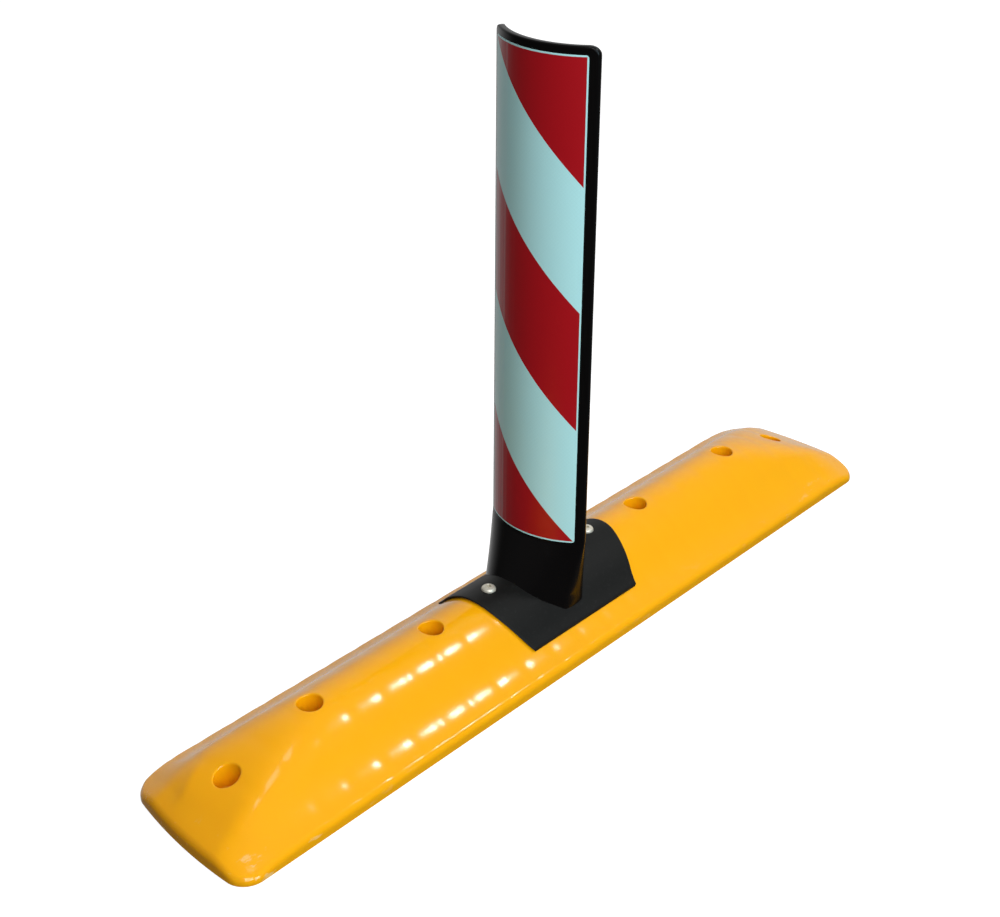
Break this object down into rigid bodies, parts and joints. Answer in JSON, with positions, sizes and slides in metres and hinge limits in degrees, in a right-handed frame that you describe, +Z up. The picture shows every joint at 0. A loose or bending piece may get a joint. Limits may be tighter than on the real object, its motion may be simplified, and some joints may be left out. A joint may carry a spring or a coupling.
{
  "type": "lane kerb with marker blade",
  "caption": "Low moulded kerb with sloping ends and countersunk anchor holes, carrying an upright flexible arc-section marker blade with diagonal reflective stripes.",
  "frame": {"origin": "on the ground, under the middle of the kerb", "axes": "+X along the kerb, away from the blade's convex face; +Y across the kerb; +Z up"},
  "size_m": [1, 0.182, 0.631],
  "materials": {
    "kerb_plastic": "yellow-orange moulded polyethylene, glossy",
    "saddle_plastic": "black satin plastic",
    "blade_rubber": "black flexible polyurethane, smooth and glossy",
    "reflective_sheet": "red and white retroreflective sheet",
    "bolt_steel": "zinc plated steel",
    "nylon": "off-white nylon"
  },
  "bodies": {
    "kerb": {"kerb_shell": "kerb_plastic", "saddle_plate": "saddle_plastic", "blade_foot": "blade_rubber", "blade_neck": "blade_rubber", "saddle_bolts": "bolt_steel", "saddle_washers": "bolt_steel", "lock_nuts": "bolt_steel", "lock_nut_rings": "nylon"},
    "blade": {"blade_panel": "blade_rubber", "front_reflective_sheet": "reflective_sheet", "rear_reflective_sheet": "reflective_sheet"}
  },
  "joints": [
    {"name": "blade_flex", "type": "hinge", "parent": "kerb", "child": "blade", "pos_m": [-0.0125, 0, 0.115], "axis": [0, 1, 0], "range_deg": [-90, 90], "stiffness_Nm_per_rad": 12, "deforming": ["blade_neck"]}
  ]
}
